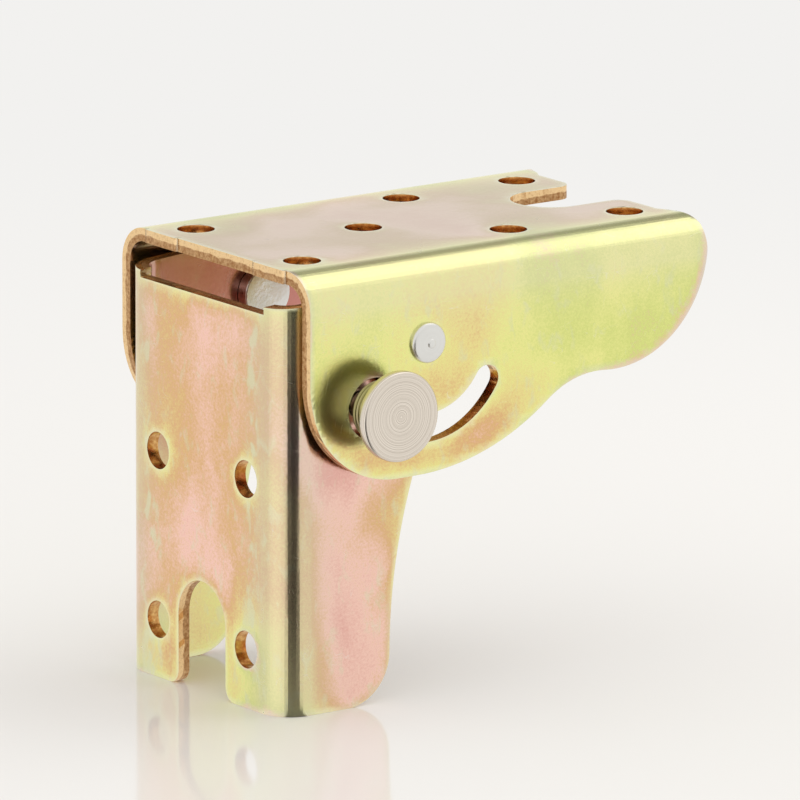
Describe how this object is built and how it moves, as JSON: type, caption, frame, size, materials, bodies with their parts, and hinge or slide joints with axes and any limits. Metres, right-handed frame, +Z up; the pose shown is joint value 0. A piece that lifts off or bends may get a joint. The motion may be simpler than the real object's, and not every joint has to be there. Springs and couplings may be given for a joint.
{
  "type": "folding table leg bracket",
  "caption": "Folding table leg bracket: a folded top channel, a leg channel that swings inside it on rivets, and a spring-loaded pull pin that runs in arc slots.",
  "frame": {"origin": "middle of the four corner screw holes, on the top channel's upper face", "axes": "+Z up out of the mounting face, +X along the top channel away from the leg, -Y towards the knob"},
  "size_m": [0.0741, 0.0549, 0.0655],
  "materials": {
    "yellow_zinc": "yellow chromate over bright zinc plate, iridescent",
    "white_zinc": "clear zinc plate",
    "nickel": "turned and nickel plated",
    "spring_steel": "drawn and oiled"
  },
  "bodies": {
    "top": {"top_bracket": "yellow_zinc", "knob_side_rivet": "white_zinc", "far_side_rivet": "white_zinc", "knob_side_spacer": "white_zinc", "far_side_spacer": "white_zinc"},
    "leg": {"leg_bracket": "yellow_zinc", "lock_spring": "spring_steel"},
    "lock": {"lock_pin": "nickel", "spring_washer": "white_zinc", "retaining_clip": "spring_steel"}
  },
  "joints": [
    {"name": "leg_fold", "type": "hinge", "parent": "top", "child": "leg", "pos_m": [-0.01425, 0, -0.0121], "axis": [0, -1, 0], "range_deg": [0, 104]},
    {"name": "pin_pull", "type": "slide", "parent": "leg", "child": "lock", "axis": [0, -1, 0], "range_m": [0, 0.0025], "stiffness_N_per_m": 600, "springref_m": -0.004, "deforming": ["lock_spring"]}
  ]
}
